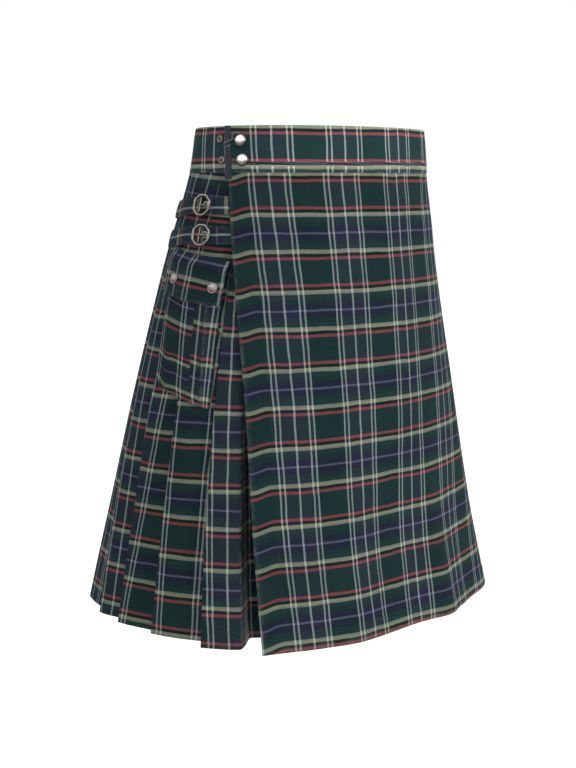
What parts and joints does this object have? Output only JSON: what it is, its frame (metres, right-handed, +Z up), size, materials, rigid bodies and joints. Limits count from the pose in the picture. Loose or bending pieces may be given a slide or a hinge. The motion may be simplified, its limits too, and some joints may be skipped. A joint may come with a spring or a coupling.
{
  "type": "utility kilt",
  "caption": "Knee-length pleated wrap kilt in tartan cloth, in its worn form, with a flat front apron, snap-closed waistband, buckled hip straps and a cargo pocket.",
  "frame": {"origin": "centre of the waist opening, half way up the waistband", "axes": "+Z up; the front of the kilt faces -Y; the wearer's right, where it fastens, is -X"},
  "size_m": [0.5421, 0.4384, 0.608],
  "materials": {
    "tartan_cloth": "twill-woven tartan in dark green and navy with red, olive and pale lines, matte",
    "waistband_cloth": "the same tartan, doubled and topstitched, matte",
    "polished_nickel": "bright domed snap caps with light scratches",
    "aged_silver": "antique silver plating, worn bright on its edges",
    "matte_metal": "matte grey snap caps"
  },
  "bodies": {
    "root": {"apron_outer": "tartan_cloth", "apron_under": "tartan_cloth", "pleats_right": "tartan_cloth", "pleats_back": "tartan_cloth", "pleats_left": "tartan_cloth", "pocket_bag": "tartan_cloth", "pocket_flap": "tartan_cloth", "strap_tongue_upper": "tartan_cloth", "strap_tab_upper": "tartan_cloth", "strap_tongue_lower": "tartan_cloth", "strap_tab_lower": "tartan_cloth", "waistband_under": "waistband_cloth", "waistband_back": "waistband_cloth", "waistband_outer": "waistband_cloth", "snap_cap_1": "polished_nickel", "snap_cap_2": "polished_nickel", "ring_stud_1": "aged_silver", "ring_stud_2": "aged_silver", "buckle_frame_upper": "aged_silver", "strap_eyelet_upper": "aged_silver", "buckle_prong_upper": "aged_silver", "buckle_frame_lower": "aged_silver", "strap_eyelet_lower": "aged_silver", "buckle_prong_lower": "aged_silver", "pocket_snap_1": "matte_metal", "pocket_snap_2": "matte_metal"}
  },
  "joints": []
}
